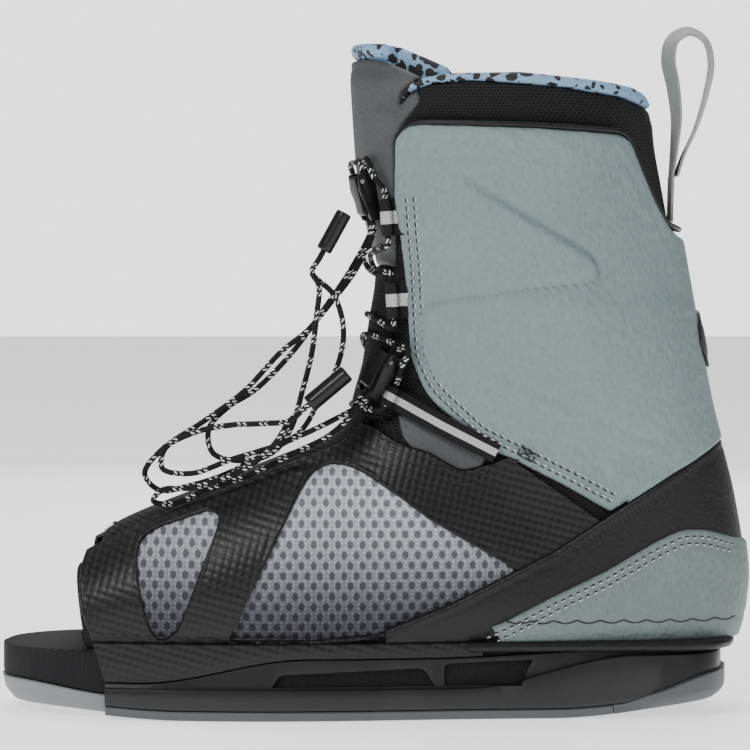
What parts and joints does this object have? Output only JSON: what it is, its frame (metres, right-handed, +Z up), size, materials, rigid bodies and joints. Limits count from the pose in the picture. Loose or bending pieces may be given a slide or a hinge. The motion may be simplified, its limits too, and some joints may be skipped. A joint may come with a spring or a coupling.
{
  "type": "wakeboard boot",
  "caption": "Open-toe lace-up wakeboard boot on a screw-down chassis, with cord locks, grip sleeves, padded tongue, tall cuff and heel pull loop.",
  "frame": {"origin": "on the ground under the middle of the boot's bounding box", "axes": "-X to the toe, +X to the heel, +Z up, +Y to the inner side of this left boot"},
  "size_m": [0.3138, 0.1107, 0.2842],
  "materials": {
    "chassis_plastic": "satin moulded nylon",
    "pale_rubber": "smooth moulded rubber",
    "dark_rubber": "smooth moulded rubber",
    "foam": "textured EVA foam",
    "board": "fibre board",
    "knit": "spacer mesh",
    "grey_mesh": "open spacer mesh",
    "print_cloth": "printed lining cloth",
    "black_leather": "embossed synthetic leather",
    "sage_leather": "grained synthetic leather",
    "grey_leather": "grained synthetic leather",
    "webbing": "woven polyester tape",
    "loop_webbing": "woven polyester tape",
    "lace_cord": "braided cord with light flecks",
    "black_plastic": "moulded",
    "grip_rubber": "glossy moulded sleeve",
    "steel": "stainless",
    "badge": "moulded rubber"
  },
  "bodies": {
    "boot": {"chassis": "chassis_plastic", "base_gasket": "dark_rubber", "toe_gasket": "pale_rubber", "heel_gasket": "dark_rubber", "footbed": "foam", "lasting_board": "board", "insole": "foam", "sole_welt": "black_leather", "liner": "knit", "collar_binding": "print_cloth", "heel_band": "black_leather", "heel_counter": "sage_leather", "cuff": "sage_leather", "cuff_piping": "black_leather", "back_badge": "badge", "ankle_tongue": "knit", "pull_tab": "loop_webbing", "vamp_outer": "black_leather", "mesh_outer": "grey_mesh", "sole_rand_outer": "black_leather", "tongue_wing_outer": "print_cloth", "ankle_strap_outer": "webbing", "upper_loop_outer": "webbing", "lower_loop_outer": "webbing", "vamp_inner": "black_leather", "mesh_inner": "grey_mesh", "sole_rand_inner": "black_leather", "tongue_wing_inner": "print_cloth", "ankle_strap_inner": "webbing", "upper_loop_inner": "webbing", "lower_loop_inner": "webbing", "lower_lock_body": "black_plastic", "lower_lock_pin": "steel", "upper_lacing": "lace_cord", "lower_lacing": "lace_cord", "upper_lace_end_1": "lace_cord", "upper_lace_end_2": "lace_cord", "lower_lace_end_1": "lace_cord", "lower_lace_end_2": "lace_cord", "chassis_screw_front_outer": "steel", "chassis_screw_front_inner": "steel", "chassis_screw_rear_outer": "steel", "chassis_screw_rear_inner": "steel"},
    "tongue": {"tongue_shield": "grey_leather", "tongue_lining": "print_cloth", "upper_lock_body": "black_plastic", "upper_lock_pin": "steel"},
    "upper_lever": {"upper_lock_lever": "black_plastic"},
    "lower_lever": {"lower_lock_lever": "black_plastic"},
    "upper_grip": {"upper_handle": "grip_rubber"},
    "lower_grip": {"lower_handle": "grip_rubber"},
    "heel_loop": {"pull_loop": "loop_webbing"}
  },
  "joints": [
    {"name": "tongue_tilt", "type": "hinge", "parent": "boot", "child": "tongue", "pos_m": [0.004, 0, 0.185], "axis": [0, -1, 0], "range_deg": [0, 6], "deforming": ["tongue_wing_outer", "tongue_wing_inner", "upper_loop_outer", "upper_loop_inner", "upper_lacing", "upper_lace_end_1", "upper_lace_end_2"]},
    {"name": "upper_lever_turn", "type": "hinge", "parent": "tongue", "child": "upper_lever", "pos_m": [-0.00705, -0.02331, 0.22032], "axis": [-0.4514, 0.892, -0.0244], "range_deg": [0, 60]},
    {"name": "lower_lever_turn", "type": "hinge", "parent": "boot", "child": "lower_lever", "pos_m": [0.00377, -0.03086, 0.14805], "axis": [-0.6106, 0.656, 0.4436], "range_deg": [0, 60]},
    {"name": "upper_grip_slide", "type": "slide", "parent": "boot", "child": "upper_grip", "axis": [-0.4806, -0.0283, -0.8765], "range_m": [0, 0.006]},
    {"name": "lower_grip_slide", "type": "slide", "parent": "boot", "child": "lower_grip", "axis": [-0.7653, -0.0494, -0.6418], "range_m": [0, 0.006]},
    {"name": "pull_loop_swing", "type": "hinge", "parent": "boot", "child": "heel_loop", "pos_m": [0.1244, 0, 0.2228], "axis": [0, 1, 0], "range_deg": [-8, 40]}
  ]
}
